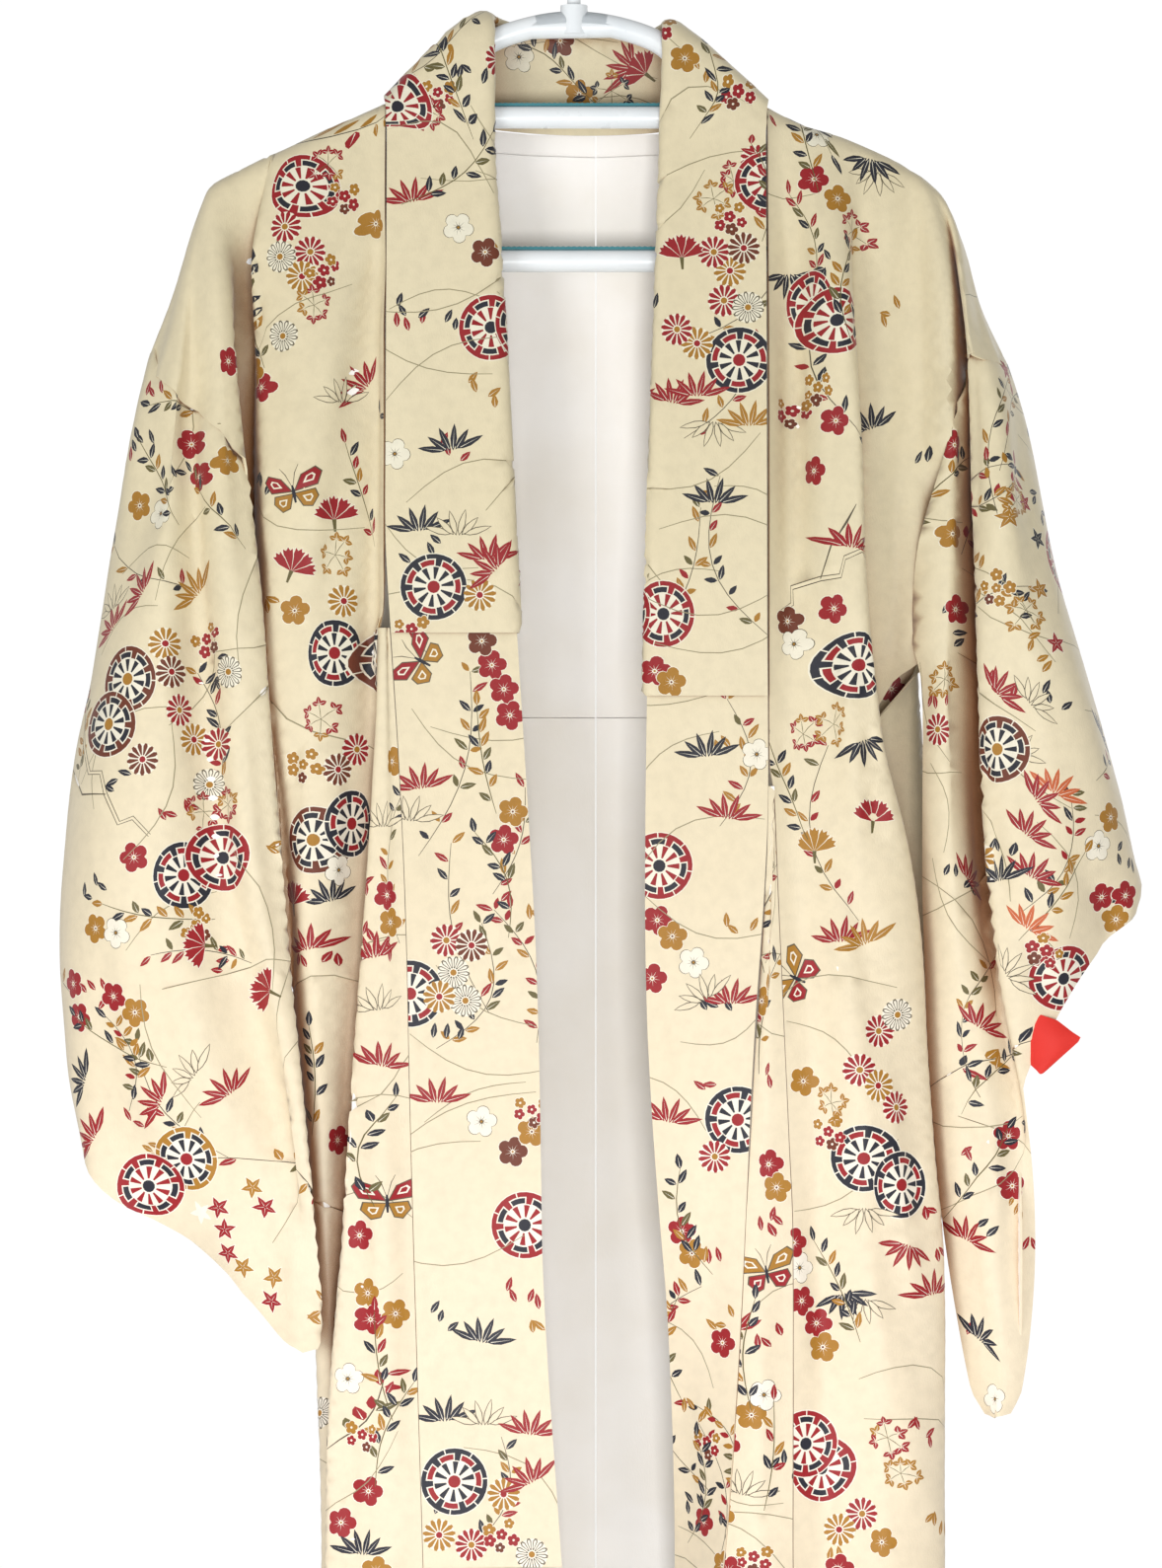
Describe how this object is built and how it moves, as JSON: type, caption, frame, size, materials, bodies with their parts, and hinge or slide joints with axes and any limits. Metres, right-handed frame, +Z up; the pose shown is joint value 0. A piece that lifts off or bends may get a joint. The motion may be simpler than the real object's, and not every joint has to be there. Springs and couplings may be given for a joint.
{
  "type": "kimono on a hanger",
  "caption": "Full-length silk kimono with long hanging sleeves and a wide collar, hung open at the front on a closed plastic hanger.",
  "frame": {"origin": "inside top of the hanger's hook, where a rod holds it", "axes": "+Z up, the garment's front faces -Y, the wearer's left is +X"},
  "size_m": [0.591, 0.0945, 1.7325],
  "materials": {
    "printed_silk": "soft crepe sheen, printed",
    "white_lining": "smooth silk",
    "red_lining": "smooth silk",
    "hanger_plastic": "gloss",
    "grip_strip": "matte"
  },
  "bodies": {
    "root": {"hanger_frame": "hanger_plastic", "grip_strip_upper": "grip_strip", "grip_strip_lower": "grip_strip", "hanger_hook": "hanger_plastic", "body_right": "printed_silk", "body_left": "printed_silk", "sleeve_right": "printed_silk", "sleeve_left": "printed_silk", "overlap_right": "printed_silk", "overlap_left": "printed_silk", "collar": "printed_silk", "over_collar": "printed_silk", "lining_upper_right": "white_lining", "lining_upper_left": "white_lining", "lining_lower_right": "white_lining", "lining_lower_left": "white_lining", "cuff_lining_left": "red_lining"}
  },
  "joints": []
}
